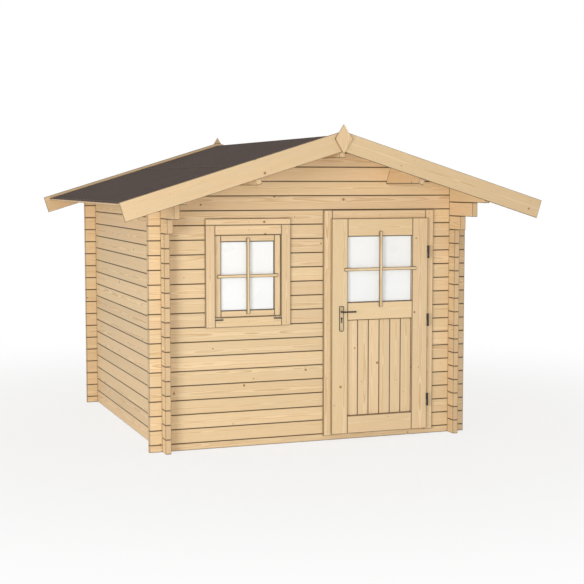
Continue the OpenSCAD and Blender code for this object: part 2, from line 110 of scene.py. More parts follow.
# Rows of boards sawn from a node: the axis that the row runs along, how many, the gap and the edge chamfer
BOARD_ROWS = {
    "left_roof_boards": (Y, 34, 0.6 * MM, 3 * MM),
    "right_roof_boards": (Y, 34, 0.6 * MM, 3 * MM),
    "floor_boards": (Y, 27, 0.6 * MM, 2 * MM),
}
PANEL_ROW = (X, 6, 0.6 * MM, 4 * MM)

# Roofing felt, in rolls laid along the roof from the eaves up, with its ripples counted in a metre
FELT_NODES = ("left_felt", "right_felt")
ROLL_W = 1.0
FELT_LAP = 0.08
FELT_T = 1.5 * MM
FELT_RIPPLE_T = 0.5 * MM
FELT_RIPPLES = 4
RIDGE_FOLD = 0.09
FELT_CELL = 0.06

# Glazing bars, laid on the face of the sash and of the door
BAR_W = 24 * MM
UPRIGHT_BAR_T = 14 * MM
CROSS_BAR_T = 11 * MM
BAR_ROUND = 2 * MM
BAR_ROUND_STEPS = 3
WINDOW_BAR_LAP = 28 * MM
DOOR_BAR_LAP_X = 31 * MM
DOOR_BAR_LAP_Z = 39 * MM

# Gaskets in front of the panes and beads behind them, set back from the inner face
GASKET_W = 4 * MM
GASKET_T = 3 * MM
GASKET_ROUND = 0.8 * MM
BEAD_W = 11 * MM
BEAD_ROUND = 2 * MM
BEAD_SETBACK = 4 * MM

# Handle plates and lock, whose round head ends at its neck, in degrees below its middle
PLATE_RIM = 5.5 * MM
PLATE_ROUND = 0.7 * MM
FACE_T = 0.7 * MM
FACE_ROUND = 0.3 * MM
FACE_HEAD_R = 1.2 * MM
FACE_FOOT_R = 7.5 * MM
PLATE_SCREW_IN = 13 * MM
PLATE_SCREW_R = 2.6 * MM
LOCK_BELOW_TOP = 97 * MM
LOCK_R = 8.4 * MM
LOCK_NECK = 60
LOCK_STEPS = 20
LOCK_FOOT = 32 * MM
LOCK_FOOT_R = 4.9 * MM
LOCK_PROUD = 1.5 * MM
PLUG_R = 6 * MM
PLUG_PROUD = 0.5 * MM
KEYWAY_W = 1.6 * MM
HALF_ROUND_STEPS = 10

# Levers: profiles of distance and radius, the waists measured back from the neck's ball and the grip's tip,
# and where the ball ends begin, in degrees from their equators
SPINDLE_R = 5 * MM
BALL_R = 8 * MM
LEVER_SIDES = 32
NECK_FOOT = ((1.2 * MM, 9 * MM), (3 * MM, 9 * MM), (6 * MM, 7 * MM))
NECK_WAIST = 14 * MM
NECK_WAIST_R = 6.2 * MM
NECK_BALL_FROM = -50
GRIP_ROOT = (
    (0, 6 * MM), (11 * MM, 6 * MM), (12.5 * MM, 7.6 * MM), (17.5 * MM, 7.6 * MM), (19 * MM, 5.8 * MM),
)
GRIP_WAIST = 22 * MM
GRIP_WAIST_R = 6.4 * MM
GRIP_BALL_FROM = -52

# Door hinges and window hinges, with the rod's chamfer as a share of its radius
HINGE_ROUND = 0.6 * MM
FLAP_LEN = 64 * MM
FLAP_T = 2.5 * MM
FLAP_ROUND = 0.6 * MM
FLAP_SCREW_DROP = 5.5 * MM
FLAP_SCREW_R = 2.4 * MM
FLAP_SCREW_SHARES = (0.2, 0.8)
ROD_CHAMFER = 0.3

# Heads of screws and nails: the height and radius of each ring, as shares of the head's radius
SCREW_HEAD = ((0, 1), (0.25, 0.92), (0.4, 0.6), (0.4, 0.42), (0.05, 0.36), (0.05, 0))
SCREW_SIDES = 12
NAIL_HEAD = ((0, 1), (0.12, 1), (0.22, 0.7), (0.25, 0))
NAIL_SIDES = 10

# Screwed boards: node, outward direction, rows over the half width, spacing and inset
SCREW_R = 3.5 * MM
SCREWED = (
    ("window_casing", FRONT, (0.0,), 0.45, 0.03),
    ("door_casing", FRONT, (0.0,), 0.45, 0.03),
    ("front_barge_boards", FRONT, (-0.55, 0.55), 0.56, 0.1),
    ("back_barge_boards", BACK, (-0.55, 0.55), 0.56, 0.1),
)

# Nails along the eaves and the laps of the felt
NAIL_R = 5 * MM
NAIL_IN = 0.025
NAIL_SPACING = 0.14


# Node trees

def linear(red, green, blue):
    """A colour written as sRGB from 0 to 255, as Blender's linear RGBA."""
    def channel(value):
        share = value / 255
        return share / 12.92 if share <= 0.04045 else ((share + 0.055) / 1.055) ** 2.4
    return channel(red), channel(green), channel(blue), 1.0


def new_material(name):
    """A material with an empty Principled surface, as (material, tree, shader)."""
    material = bpy.data.materials.new(name)
    material.use_nodes = True
    tree = material.node_tree
    shader = tree.nodes["Principled BSDF"]
    return material, tree, shader


def add_node(tree, kind, inputs=None, **settings):
    """A shader node with its settings made, each input set to a value or linked to a socket."""
    made = tree.nodes.new("ShaderNode" + kind)
    for key, value in settings.items():
        setattr(made, key, value)
    for key, value in (inputs or {}).items():
        if isinstance(value, bpy.types.NodeSocket):
            tree.links.new(value, made.inputs[key])
        else:
            made.inputs[key].default_value = value
    return made


def maths(tree, operation, first, second=0.0):
    """A number worked out from others."""
    return add_node(tree, "Math", {0: first, 1: second}, operation=operation).outputs[0]


def vector_maths(tree, operation, first, second=(0, 0, 0)):
    """A vector worked out from others."""
    return add_node(tree, "VectorMath", {0: first, 1: second}, operation=operation).outputs[0]


def length_of(tree, vector):
    """The length of a vector."""
    return add_node(tree, "VectorMath", {0: vector}, operation="LENGTH").outputs["Value"]


def ramp(tree, value, span, to=(0.0, 1.0)):
    """A value eased from one span to another and held at its ends."""
    inputs = {"Value": value, "From Min": span[0], "From Max": span[1], "To Min": to[0], "To Max": to[1]}
    return add_node(tree, "MapRange", inputs, interpolation_type="SMOOTHSTEP").outputs["Result"]


def mix(tree, share, first, second):
    """Two colours mixed by a share."""
    # A mix node lists its share first, and its two colours and their result at 6, 7 and 2
    return add_node(tree, "Mix", {0: share, 6: first, 7: second}, data_type="RGBA").outputs[2]


def colour_part(tree, colour, part):
    """The red, green or blue of a colour."""
    return add_node(tree, "SeparateColor", {"Color": colour}).outputs[part]


def attribute(tree, name, output="Vector"):
    """A value that the mesh holds."""
    return add_node(tree, "Attribute", attribute_name=name).outputs[output]


def object_place(tree):
    """A point's place in its object."""
    return add_node(tree, "TexCoord").outputs["Object"]


def clouds(tree, place, waves, detail):
    """Soft noise with so many waves a metre."""
    return add_node(tree, "TexNoise", {"Vector": place, "Scale": waves, "Detail": detail}).outputs["Fac"]


def streaks(tree, place, waves, detail=3.0):
    """Noise with different waves a metre along, across and through a board."""
    return clouds(tree, vector_maths(tree, "MULTIPLY", place, waves), 1.0, detail)


def link_surface(tree, shader, colour, roughness):
    """Gives a surface its colour and its roughness."""
    tree.links.new(colour, shader.inputs["Base Color"])
    tree.links.new(roughness, shader.inputs["Roughness"])


def link_bump(tree, shader, height, distance, strength):
    """Raises the surface by a height pattern."""
    inputs = {"Height": height, "Distance": distance, "Strength": strength}
    bump = add_node(tree, "Bump", inputs)
    tree.links.new(bump.outputs["Normal"], shader.inputs["Normal"])


# Wood

# Vectors that each vertex of a board holds: its place in the board, the heart of its trunk, the board's
# half sizes and the board's place in its trunk
BOARD_VECTORS = ("grain", "heart", "half", "origin")

# Knots: the size of their cells, the lots that grow one, their radii, how far they bend the rings and
# where their rim lies, both in knot radii, and how strongly they show
KNOT_CELL = (0.55, 0.115, 0.6)
KNOT_LOTS = (0.45, 1.0)
KNOT_LEAST = 0.5 * MM
KNOT_MOST = 11 * MM
KNOT_BEND = 0.9
KNOT_BEND_SPAN = (0.0, 3.0)
KNOT_RIM = (0.75, 1.15)
KNOT_SHARE = 0.8
KNOT_COLOUR = linear(139, 92, 52)

# Growth rings, with the part of each turn where late wood rises and ends
RING_PITCH = 4.2 * MM
RING_WANDER = 30 * MM
RING_WAVES = (1.1, 5.0, 5.0)
LATE_RISE = (0.25, 0.9)
LATE_FALL = (0.92, 1.0)

# Fibres, figure and each board's own lot: waves a metre, the span of their noise, the brightness and hue
# that they give, and how strongly the figure lets late wood show
FIBRE_WAVES = (9.0, 420.0, 420.0)
FIBRE_DETAIL = 2.0
FIBRE_SPAN = (0.25, 0.8)
FIBRE_TONES = (0.95, 1.03)
FIGURE_WAVES = (1.2, 34.0, 34.0)
FIGURE_DETAIL = 4.0
FIGURE_SPAN = (0.25, 0.75)
FIGURE_TONES = (0.96, 1.03)
LOT_SPAN = (0.0, 1.0)
LOT_TONES = (0.93, 1.04)
LOT_HUES = (0.496, 0.502)
LATE_SPAN = (0.3, 0.75)
LATE_SHARES = (0.25, 0.9)

# End grain; dark lines along the seams, dirt in the joints together with painted shadow; dark lines round the
# ends; and painted shade in inner corners, from an occlusion test
END_COLOUR = linear(168, 126, 80)
END_SHARES = (0.18, 0.5)
# Colour of the dark lines: dirt together with painted shade
SEAM_DIRT_AND_SHADE_COLOUR = linear(48, 32, 18)
END_LINE_W = 6 * MM
END_RIM_W = 5 * MM
ARRIS = 3.5 * MM
ARRIS_FADE = 3.5 * MM
CORNER_REACH = 14 * MM
CORNER_RAYS = 6
CORNER_SPAN = (0.35, 0.8)
CORNER_SHARE = 0.85

# Surface of planed wood
WOOD_ROUGH_SPAN = (0.2, 0.8)
WOOD_ROUGHNESS = (0.52, 0.72)
WOOD_SPECULAR = 0.3
RING_RELIEF = 0.35
WOOD_BUMP = 0.6 * MM
WOOD_BUMP_SHARE = 0.35


def knots(tree, place):
    """The nearest knot's radius, and the distance from its middle in radii."""
    cells_a_metre = tuple(1 / size for size in KNOT_CELL)
    scaled = vector_maths(tree, "MULTIPLY", place, cells_a_metre)
    cells = add_node(tree, "TexVoronoi", {"Vector": scaled, "Scale": 1.0, "Randomness": 1.0})
    away = vector_maths(tree, "SUBTRACT", scaled, cells.outputs["Position"])
    true_away = vector_maths(tree, "MULTIPLY", away, (KNOT_CELL[X], KNOT_CELL[Y], 0))
    lot = colour_part(tree, cells.outputs["Color"], "Red")
    radius = ramp(tree, lot, KNOT_LOTS, (KNOT_LEAST, KNOT_MOST))
    return radius, maths(tree, "DIVIDE", length_of(tree, true_away), radius)


def growth_rings(tree, grain, heart, place, knot_radius, knot):
    """Rings round a board's heart, bent round its knots: 0 in early wood and 1 in late wood."""
    bend = maths(tree, "MULTIPLY", knot_radius, ramp(tree, knot, KNOT_BEND_SPAN, (KNOT_BEND, 0.0)))
    wander = maths(tree, "MULTIPLY", streaks(tree, place, RING_WAVES), RING_WANDER)
    from_heart = vector_maths(tree, "MULTIPLY", vector_maths(tree, "SUBTRACT", grain, heart), (0, 1, 1))
    radius = maths(tree, "ADD", maths(tree, "ADD", length_of(tree, from_heart), wander), bend)
    turn = maths(tree, "FRACT", maths(tree, "DIVIDE", radius, RING_PITCH))
    return maths(tree, "MULTIPLY", ramp(tree, turn, LATE_RISE), ramp(tree, turn, LATE_FALL, (1.0, 0.0)))


def edge_dirt_and_painted_shade(tree, grain, half, end, seam_w, seam_share, end_share):
    """How dark a board is painted along its seams, as dirt and painted shadow in the joints, round its sawn
    ends, and in the corners it makes with others, as painted shade.
    """
    inward = vector_maths(tree, "SUBTRACT", half, vector_maths(tree, "ABSOLUTE", grain))
    inside = add_node(tree, "SeparateXYZ", {0: inward}).outputs
    # Seam lines: dirt in the joints together with painted shadow along the board's long edges
    by_edge = ramp(tree, inside["Y"], (0.0, seam_w), (seam_share, 0.0))
    by_face = ramp(tree, inside["Z"], (ARRIS, ARRIS + ARRIS_FADE), (1.0, 0.0))
    seam = maths(tree, "MULTIPLY", by_edge, maths(tree, "MAXIMUM", by_face, end))
    by_end = ramp(tree, inside["X"], (0.0, END_LINE_W), (end_share, 0.0))
    end_line = maths(tree, "MULTIPLY", by_end, maths(tree, "SUBTRACT", 1.0, end))
    by_side = ramp(tree, inside["Z"], (0.0, END_RIM_W), (end_share, 0.0))
    end_rim = maths(tree, "MULTIPLY", by_side, end)
    # Painted shade: an occlusion test darkens the inner corners where boards meet others
    nook = add_node(tree, "AmbientOcclusion", {"Distance": CORNER_REACH}, samples=CORNER_RAYS).outputs["AO"]
    painted_corner_shade = ramp(tree, nook, CORNER_SPAN, (CORNER_SHARE, 0.0))
    edges = maths(tree, "MAXIMUM", seam, maths(tree, "MAXIMUM", end_line, end_rim))
    return maths(tree, "MAXIMUM", edges, painted_corner_shade)


def wood(name, early, late, seam_w, seam_share, end_share):
    """Planed spruce: rings round each board's own heart, fibres, knots, end grain, dark seams of dirt and
    painted shadow, and painted shade in inner corners.
    """
    material, tree, shader = new_material(name)
    grain, heart, half, origin = [attribute(tree, vector) for vector in BOARD_VECTORS]
    end = attribute(tree, "end_grain", "Fac")
    place = vector_maths(tree, "ADD", grain, origin)
    lot = add_node(tree, "TexWhiteNoise", {"Vector": origin}, noise_dimensions="3D").outputs
    knot_radius, knot = knots(tree, place)
    ring = growth_rings(tree, grain, heart, place, knot_radius, knot)
    fibre = streaks(tree, place, FIBRE_WAVES, FIBRE_DETAIL)
    figure = streaks(tree, place, FIGURE_WAVES, FIGURE_DETAIL)

    shade = maths(tree, "MULTIPLY", ring, ramp(tree, figure, LATE_SPAN, LATE_SHARES))
    colour = mix(tree, shade, early, late)
    tone = ramp(tree, lot["Value"], LOT_SPAN, LOT_TONES)
    fibre_tone = ramp(tree, fibre, FIBRE_SPAN, FIBRE_TONES)
    figure_tone = ramp(tree, figure, FIGURE_SPAN, FIGURE_TONES)
    value = maths(tree, "MULTIPLY", maths(tree, "MULTIPLY", tone, fibre_tone), figure_tone)
    hue = ramp(tree, colour_part(tree, lot["Color"], "Green"), LOT_SPAN, LOT_HUES)
    toned = add_node(tree, "HueSaturation", {"Hue": hue, "Saturation": 1.0, "Value": value, "Color": colour})
    knot_rim = ramp(tree, knot, KNOT_RIM, (KNOT_SHARE, 0.0))
    knotted = mix(tree, knot_rim, toned.outputs["Color"], KNOT_COLOUR)
    end_tone = maths(tree, "MULTIPLY", end, ramp(tree, ring, (0.0, 1.0), END_SHARES))
    ended = mix(tree, end_tone, knotted, END_COLOUR)
    # Dirt and painted shade along seams, ends and inner corners, mixed towards the dark seam colour
    dirt_and_shade = edge_dirt_and_painted_shade(tree, grain, half, end, seam_w, seam_share, end_share)
    dirtied_and_shaded = mix(tree, dirt_and_shade, ended, SEAM_DIRT_AND_SHADE_COLOUR)

    link_surface(tree, shader, dirtied_and_shaded, ramp(tree, fibre, WOOD_ROUGH_SPAN, WOOD_ROUGHNESS))
    shader.inputs["Specular IOR Level"].default_value = WOOD_SPECULAR
    height = maths(tree, "ADD", maths(tree, "MULTIPLY", ring, RING_RELIEF), fibre)
    link_bump(tree, shader, height, WOOD_BUMP, WOOD_BUMP_SHARE)
    return material


# Felt, panes, metal and rubber, with the waves of their patterns counted in a metre

# The span that most of a noise lies in
NOISE_SPAN = (0.3, 0.7)

# Granules and dull patches of the felt
GRIT_WAVES = 520.0
GRIT_LOTS = (0.1, 0.95)
GRIT_DARK = linear(72, 59, 54)
GRIT_PALE = linear(103, 89, 83)
GRIT_BUMP = 1.0 * MM
GRIT_BUMP_SHARE = 0.6
PATCH_WAVES = 3.2
PATCH_DETAIL = 5.0
PATCH_SPAN = (0.35, 0.75)
PATCH_SHARE = 0.3
PATCH_COLOUR = linear(96, 83, 78)
FELT_ROUGHNESS = (0.82, 0.96)
FELT_SPECULAR = 0.08

# Clouding of the panes
PANE_WAVES = 2.5
PANE_DETAIL = 2.0
PANE_DIM = linear(244, 247, 247)
PANE_BRIGHT = linear(247, 249, 249)
PANE_ROUGHNESS = (0.24, 0.32)
PANE_IOR = 1.49

# Grain of a metal's coat, and smears that lighten it
COAT_WAVES = 900.0
COAT_DETAIL = 2.0
COAT_BUMP = 0.1 * MM
COAT_BUMP_SHARE = 0.25
SMEAR_WAVES = 40.0
SMEAR_DETAIL = 4.0
SMEAR_SPAN = (0.35, 0.8)
SMEAR_GAIN = 1.25
SMEAR_LIFT = 0.004

# Dust on the rubber
DUST_WAVES = 60.0
DUST_DETAIL = 4.0
DUST_SPAN = (0.4, 0.8)
DUST_COLOUR = linear(46, 43, 40)
RUBBER_COLOUR = linear(24, 22, 21)
RUBBER_ROUGHNESS = (0.6, 0.8)


def felt():
    """Mineral-faced bitumen felt: fine granules in mixed dark browns, with dull patches."""
    material, tree, shader = new_material("roofing_felt")
    place = object_place(tree)
    grit = add_node(tree, "TexVoronoi", {"Vector": place, "Scale": GRIT_WAVES}).outputs
    lot = colour_part(tree, grit["Color"], "Red")
    patch = clouds(tree, place, PATCH_WAVES, PATCH_DETAIL)
    speck = mix(tree, ramp(tree, lot, GRIT_LOTS), GRIT_DARK, GRIT_PALE)
    worn = mix(tree, ramp(tree, patch, PATCH_SPAN, (0.0, PATCH_SHARE)), speck, PATCH_COLOUR)
    link_surface(tree, shader, worn, ramp(tree, patch, NOISE_SPAN, FELT_ROUGHNESS))
    shader.inputs["Specular IOR Level"].default_value = FELT_SPECULAR
    link_bump(tree, shader, grit["Distance"], GRIT_BUMP, GRIT_BUMP_SHARE)
    return material


def pane():
    """White satin glazing with faint clouding and a clean gloss."""
    material, tree, shader = new_material("satin_pane")
    cloud = clouds(tree, object_place(tree), PANE_WAVES, PANE_DETAIL)
    white = mix(tree, ramp(tree, cloud, NOISE_SPAN), PANE_DIM, PANE_BRIGHT)
    link_surface(tree, shader, white, ramp(tree, cloud, NOISE_SPAN, PANE_ROUGHNESS))
    shader.inputs["IOR"].default_value = PANE_IOR
    return material


def coated_metal(name, colour, roughness, metallic):
    """Metal with a fine-grained coat and slightly uneven gloss."""
    material, tree, shader = new_material(name)
    place = object_place(tree)
    fine = clouds(tree, place, COAT_WAVES, COAT_DETAIL)
    smear = clouds(tree, place, SMEAR_WAVES, SMEAR_DETAIL)
    lighter = tuple(min(1.0, channel * SMEAR_GAIN + SMEAR_LIFT) for channel in colour[:3]) + (1.0,)
    smeared = mix(tree, ramp(tree, smear, SMEAR_SPAN), colour, lighter)
    link_surface(tree, shader, smeared, ramp(tree, smear, NOISE_SPAN, roughness))
    shader.inputs["Metallic"].default_value = metallic
    link_bump(tree, shader, fine, COAT_BUMP, COAT_BUMP_SHARE)
    return material


def rubber():
    """Black glazing rubber, dull with a little dust."""
    material, tree, shader = new_material("glazing_rubber")
    dust = clouds(tree, object_place(tree), DUST_WAVES, DUST_DETAIL)
    dusty = mix(tree, ramp(tree, dust, DUST_SPAN), RUBBER_COLOUR, DUST_COLOUR)
    link_surface(tree, shader, dusty, ramp(tree, dust, NOISE_SPAN, RUBBER_ROUGHNESS))
    return material


# Woods: colours of early and late wood, width and darkness of the seam lines, dirt and painted shadow in the
# joints, and darkness of the lines round the ends
LOG_WOOD = wood("log_wood", linear(237, 210, 168), linear(207, 171, 122), 8 * MM, 0.97, 0.75)
TRIM_WOOD = wood("trim_wood", linear(237, 210, 168), linear(211, 175, 126), 7 * MM, 0.9, 0.7)
BARGE_WOOD = wood("barge_wood", linear(227, 199, 157), linear(201, 165, 117), 5 * MM, 0.95, 0.9)
DOOR_WOOD = wood("door_wood", linear(238, 212, 170), linear(214, 178, 129), 7 * MM, 0.95, 0.95)
BAR_WOOD = wood("bar_wood", linear(238, 212, 170), linear(214, 178, 129), 7 * MM, 0.95, 0.8)
BOARD_WOOD = wood("board_wood", linear(236, 209, 167), linear(205, 169, 120), 6 * MM, 0.7, 0.85)

# Metals: colour, roughness from and to, and how metallic they are
BLACK_METAL = coated_metal("black_metal", linear(22, 21, 20), (0.38, 0.52), 0.0)
PLATE_METAL = coated_metal("plate_metal", linear(196, 174, 139), (0.4, 0.55), 1.0)
ZINC = coated_metal("zinc_screws", linear(176, 160, 130), (0.35, 0.5), 1.0)

FELT = felt()
PANE = pane()
RUBBER = rubber()


# Mesh building

WELD = 0.01 * MM
FLAT_ANGLE = math.radians(0.5)
SHARP_ANGLE = math.radians(30)
TURNED_SIDES = 24
ARC_STEPS = 8

# Digits to which lengths and areas are compared, so that equal ones stay equal
LENGTH_DIGITS = 6
AREA_DIGITS = 7

# A board's heart: its depth in half thicknesses, how much deeper it may lie, and how far aside in half widths
HEART_DEPTH = (0.2, 1.0)
HEART_DEEPER = 0.05
HEART_ASIDE = 0.6

# Metres over which boards are spread through the patterns of the wood
TRUNK_SPREAD = 40

# Faces whose normal lies along the grain by more than this show end grain
END_GRAIN_FROM = 0.45


def body_of(node):
    """The body that a node rides on."""
    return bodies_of(frame["nodes"][node])[0]


def welded(node):
    """A node's solids with their corners joined and their flat faces whole."""
    bm = bmesh.new()
    bm.from_mesh(frame["nodes"][node].data)
    bmesh.ops.remove_doubles(bm, verts=bm.verts, dist=WELD)
    bmesh.ops.dissolve_limit(bm, angle_limit=FLAT_ANGLE, verts=bm.verts, edges=bm.edges)
    return bm


def soften(bm, radius, segments=2):
    """Rounds all sharp edges."""
    bm.normal_update()
    edges = [e for e in bm.edges if e.is_manifold and e.calc_face_angle() > SHARP_ANGLE]
    bmesh.ops.bevel(bm, geom=edges, offset=radius, segments=segments, profile=0.5,
                    affect="EDGES", clamp_overlap=True)


def islands(bm):
    """The separate solids of a mesh, each as a list of its vertices."""
    seen = set()
    groups = []
    for start in bm.verts:
        if start in seen:
            continue
        seen.add(start)
        group = [start]
        for vert in group:
            for edge in vert.link_edges:
                other = edge.other_vert(vert)
                if other not in seen:
                    seen.add(other)
                    group.append(other)
        groups.append(group)
    return groups


def board_axes(verts, along=None, wide=None):
    """A board's unit axes: along its grain, across its wide face, and through it."""
    if along is None:
        edges = list(dict.fromkeys(e for v in verts for e in v.link_edges))
        longest = max(edges, key=lambda e: round(e.calc_length(), LENGTH_DIGITS))
        along = (longest.verts[1].co - longest.verts[0].co).normalized()
    if wide is None:
        faces = list(dict.fromkeys(f for v in verts for f in v.link_faces))
        wide = max(faces, key=lambda f: round(f.calc_area(), AREA_DIGITS)).normal
    through = (wide - along * wide.dot(along)).normalized()
    return along, through.cross(along), through


def add_grain(bm, name, along=None, wide=None):
    """Gives each board of a mesh its own piece of trunk, for the wood materials to read."""
    grain, heart, size, origin = [bm.verts.layers.float_vector.new(vector) for vector in BOARD_VECTORS]
    end_grain = bm.faces.layers.float.new("end_grain")
    bmesh.ops.recalc_face_normals(bm, faces=bm.faces)
    draw = random.Random(name)
    for verts in islands(bm):
        axes = board_axes(verts, along, wide)
        spans = [[v.co.dot(axis) for v in verts] for axis in axes]
        middle = [(min(span) + max(span)) / 2 for span in spans]
        half = [(max(span) - min(span)) / 2 for span in spans]
        depth = half[2] * draw.uniform(*HEART_DEPTH) + draw.uniform(0.0, HEART_DEEPER)
        heart_at = (0, draw.uniform(-HEART_ASIDE, HEART_ASIDE) * half[1], depth * draw.choice((-1, 1)))
        start = Vector([draw.uniform(0, TRUNK_SPREAD) for _ in range(3)])
        for i, vert in enumerate(verts):
            vert[grain] = [spans[k][i] - middle[k] for k in range(3)]
            vert[heart] = heart_at
            vert[size] = half
            vert[origin] = start
            for face in vert.link_faces:
                face[end_grain] = 1.0 if abs(face.normal.dot(axes[0])) > END_GRAIN_FROM else 0.0


def add_piece(name, bm, material, body, slot, stands_for=()):
    """A mesh as a piece of the object, riding on a body."""
    bmesh.ops.recalc_face_normals(bm, faces=bm.faces)
    mesh = bpy.data.meshes.new(name)
    bm.to_mesh(mesh)
    bm.free()
    mesh.materials.append(material)
    obj = bpy.data.objects.new(name, mesh)
    bpy.context.scene.collection.objects.link(obj)
    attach(obj, body)
    if stands_for:
        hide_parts(*stands_for)
    return obj


def shade_round(obj):
    """Shades a round piece smooth, with its sharp edges kept."""
    obj.data.shade_smooth()
    obj.data.set_sharp_from_angle(angle=SHARP_ANGLE)


def add_block(bm, low, high):
    """A block between two corners."""
    made = bmesh.ops.create_cube(bm, size=1.0)["verts"]
    for vert in made:
        vert.co = [low[k] + (vert.co[k] + 0.5) * (high[k] - low[k]) for k in range(3)]


def add_prism(bm, outline, y0, y1):
    """An outline of X and Z points, run from y0 to y1."""
    front = [bm.verts.new((x, y0, z)) for x, z in outline]
    back = [bm.verts.new((x, y1, z)) for x, z in outline]
    bm.faces.new(front)
    bm.faces.new(back[::-1])
    for i in range(len(outline)):
        bm.faces.new((front[i - 1], back[i - 1], back[i], front[i]))


def add_rim(bm, low, high, width, y0, y1):
    """Four mitred strips inside a rectangle of X and Z."""
    def corners(inset):
        x0, x1 = low[X] + inset, high[X] - inset
        z0, z1 = low[Z] + inset, high[Z] - inset
        return [(x0, z0), (x1, z0), (x1, z1), (x0, z1)]
    outer = corners(0)
    inner = corners(width)
    for i in range(len(outer)):
        add_prism(bm, [outer[i - 1], outer[i], inner[i], inner[i - 1]], y0, y1)


def add_turned(bm, profile, start, axis, sides=TURNED_SIDES):
    """A turned solid: profile gives distances along the unit axis with their radii."""
    side = axis.orthogonal().normalized()
    up = axis.cross(side)
    turns = [2 * math.pi * i / sides for i in range(sides)]
    spokes = [side * math.cos(turn) + up * math.sin(turn) for turn in turns]
    rings = []
    for distance, radius in profile:
        centre = Vector(start) + axis * distance
        if radius < WELD:
            rings.append([bm.verts.new(centre)])
        else:
            rings.append([bm.verts.new(centre + spoke * radius) for spoke in spokes])
    for lower, upper in zip(rings, rings[1:]):
        for i in range(sides):
            corners = [lower[i % len(lower)], lower[(i + 1) % len(lower)],
                       upper[(i + 1) % len(upper)], upper[i % len(upper)]]
            bm.faces.new(list(dict.fromkeys(corners)))
    for ring in (rings[0], rings[-1]):
        if len(ring) > 1:
            bm.faces.new(ring)


def add_sheet(bm, top, bottom):
    """A closed sheet between two grids of points."""
    grids = [[[bm.verts.new(p) for p in row] for row in grid] for grid in (top, bottom)]
    rows, columns = len(top), len(top[0])
    for grid in grids:
        for i in range(rows - 1):
            for j in range(columns - 1):
                bm.faces.new((grid[i][j], grid[i][j + 1], grid[i + 1][j + 1], grid[i + 1][j]))
    upper, lower = grids
    for i in range(rows - 1):
        for j in (0, columns - 1):
            bm.faces.new((upper[i][j], upper[i + 1][j], lower[i + 1][j], lower[i][j]))
    for j in range(columns - 1):
        for i in (0, rows - 1):
            bm.faces.new((upper[i][j], upper[i][j + 1], lower[i][j + 1], lower[i][j]))


def steps(start, end, cell):
    """Even steps from start to end, none longer than cell."""
    count = max(1, math.ceil((end - start) / cell))
    return [start + (end - start) * i / count for i in range(count + 1)]


def angles_between(first, last, count):
    """Even steps from one angle in degrees to another, in radians."""
    return [math.radians(first + (last - first) * i / count) for i in range(count + 1)]


def arc(centre, radius, first, last, count=ARC_STEPS):
    """Points of X and Z on an arc between two angles in degrees."""
    angles = angles_between(first, last, count)
    return [(centre[0] + radius * math.cos(a), centre[1] + radius * math.sin(a)) for a in angles]


def ball_end(centre, first):
    """Profile of a lever's ball end, from an angle in degrees before its equator to its tip."""
    angles = angles_between(first, 90, ARC_STEPS)
    return [(centre + BALL_R * math.sin(a), max(0.0, BALL_R * math.cos(a))) for a in angles]


# Timber

def dress(node, material, slot, rounding=0.0, along=None, wide=None):
    """A timber node's own solids with grain, and with rounded edges where asked."""
    bm = welded(node)
    if rounding:
        soften(bm, rounding)
    add_grain(bm, node, along, wide)
    add_piece(node + "_timber", bm, material, body_of(node), slot, [node])


def saw(node, axis, count, gap, chamfer, material, slot):
    """A node's solid, straight along the axis, as a row of chamfered boards."""
    low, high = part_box(node)
    pitch = (high[axis] - low[axis]) / count
    row = bmesh.new()
    board_mesh = bpy.data.meshes.new("board")
    for i in range(count):
        board = welded(node)
        for vert in board.verts:
            far = vert.co[axis] > (low[axis] + high[axis]) / 2
            inset = -gap / 2 if far else gap / 2
            vert.co[axis] = low[axis] + pitch * (i + far) + inset
        board.to_mesh(board_mesh)
        board.free()
        row.from_mesh(board_mesh)
    bpy.data.meshes.remove(board_mesh)
    soften(row, chamfer, 1)
    add_grain(row, node)
    add_piece(node + "_row", row, material, body_of(node), slot, [node])


def dress_timber():
    """All the logs, boards and joinery."""
    for node in LOG_NODES:
        dress(node, LOG_WOOD, "log_wood")
    for node in GABLE_NODES:
        dress(node, LOG_WOOD, "log_wood", along=RIGHT, wide=FRONT)
    for node in PURLIN_NODES:
        dress(node, LOG_WOOD, "log_wood", EDGE_ROUND)
    for node in TRIM_NODES:
        dress(node, TRIM_WOOD, "trim_wood", EDGE_ROUND)
    for node in BARGE_NODES:
        dress(node, BARGE_WOOD, "trim_wood", EDGE_ROUND)
    for node in FINIAL_NODES:
        dress(node, BARGE_WOOD, "trim_wood", EDGE_ROUND, UP)
    for node in JOINERY_NODES:
        dress(node, DOOR_WOOD, "door_wood", EDGE_ROUND)
    for node, (axis, count, gap, chamfer) in BOARD_ROWS.items():
        saw(node, axis, count, gap, chamfer, BOARD_WOOD, "board_wood")
    saw("door_panel", *PANEL_ROW, DOOR_WOOD, "door_wood")


# Roofing felt

Slope = namedtuple("Slope", "ridge down normal length")


def slope_of(node):
    """Ridge point, direction down, outward normal and length of a roof slab's top."""
    corners = [v.co.copy() for v in frame["nodes"][node].data.vertices]
    ridge = max(corners, key=lambda p: p.z)
    eaves = max(corners, key=lambda p: abs(p.x))
    along = Vector((eaves.x - ridge.x, 0, eaves.z - ridge.z))
    down = along.normalized()
    normal = Vector((-down.z, 0, down.x))
    if normal.z < 0:
        normal.negate()
    return Slope(Vector((ridge.x, 0, ridge.z)), down, normal, along.length)


def lap_edge(slope):
    """How far down a slope the lower edge of its top roll lies."""
    return slope.length - ROLL_W + FELT_LAP


def roof_place(slope, s, y, n):
    """The point s down a slope and n above it. A negative s folds over the ridge."""
    down, normal = slope.down, slope.normal
    if s < 0:
        down = Vector((-down.x, 0, down.z))
        normal = Vector((-normal.x, 0, normal.z))
    point = slope.ridge + down * abs(s) + normal * n
    return Vector((point.x, y, point.z))


